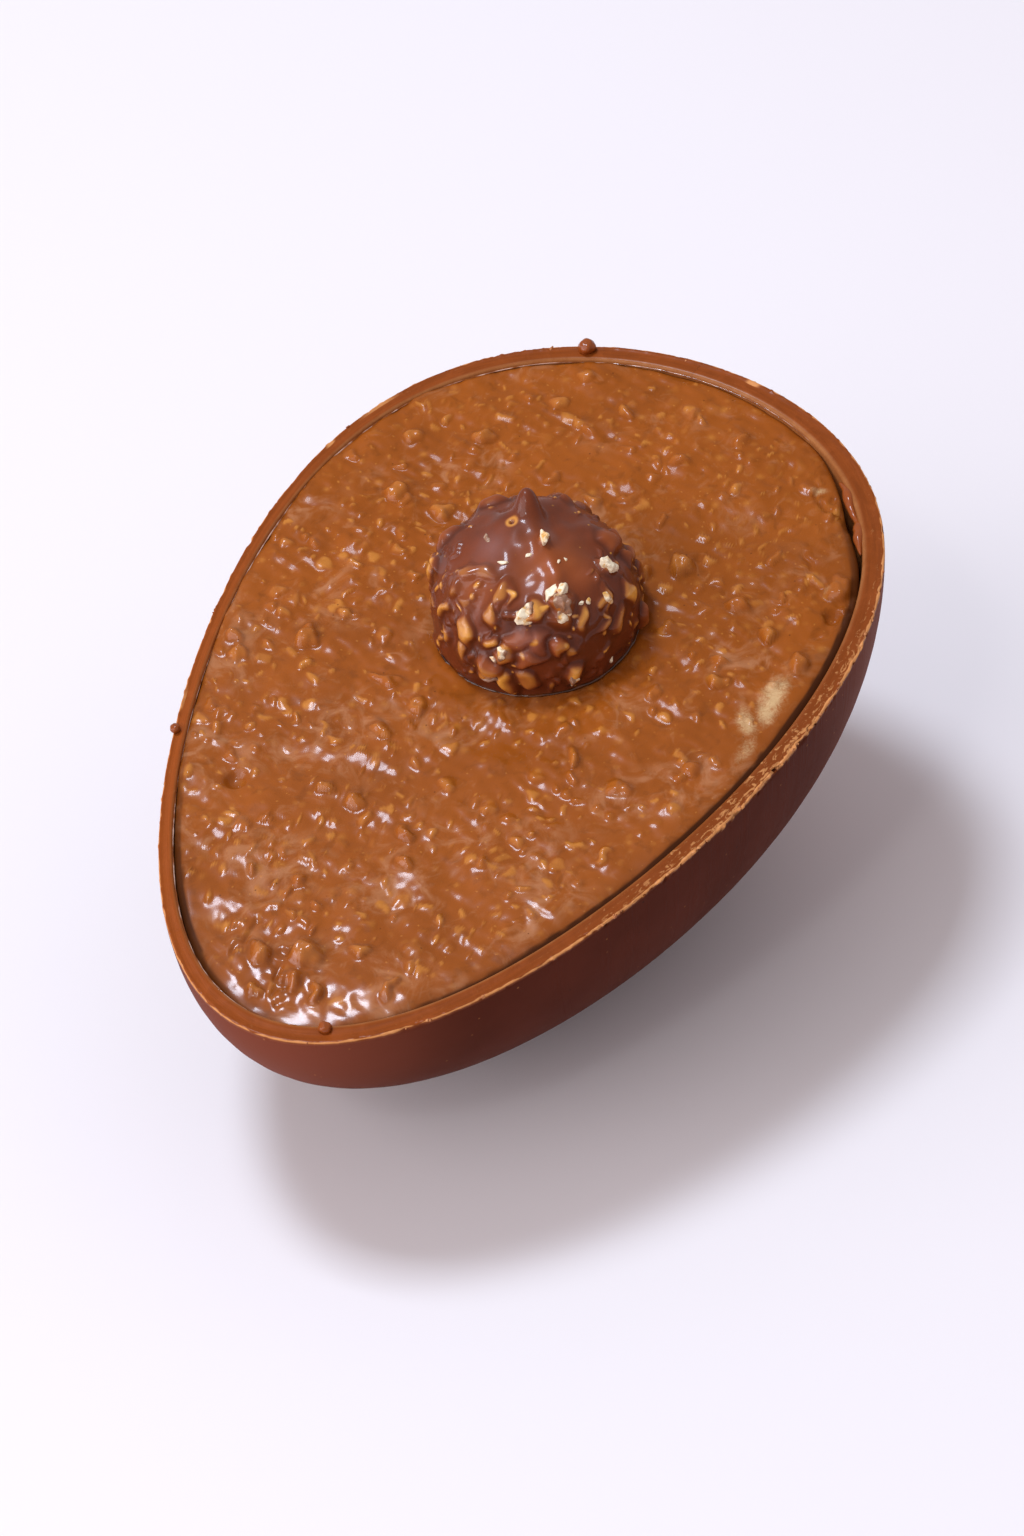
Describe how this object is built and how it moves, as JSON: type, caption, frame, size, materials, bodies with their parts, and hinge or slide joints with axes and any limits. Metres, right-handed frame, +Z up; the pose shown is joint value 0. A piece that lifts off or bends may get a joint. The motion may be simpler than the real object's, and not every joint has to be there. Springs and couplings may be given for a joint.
{
  "type": "chocolate egg",
  "caption": "Half chocolate egg lying open side up, its shell filled to the rim with chopped-nut cream and topped with a nut-studded praline ball.",
  "frame": {"origin": "centre of the small flat on the round bottom, on which the half egg rests", "axes": "+Z up, +X along the egg towards its wide end, -Z out of the resting flat"},
  "size_m": [0.1347, 0.0898, 0.0702],
  "materials": {
    "shell_chocolate": "satin milk chocolate, scraped lighter along the rim",
    "nut_cream": "glossy caramel-brown cream over chopped nuts",
    "praline_coat": "glossy dark milk chocolate over chopped nuts"
  },
  "bodies": {
    "root": {"shell": "shell_chocolate", "filling": "nut_cream", "praline": "praline_coat"}
  },
  "joints": []
}
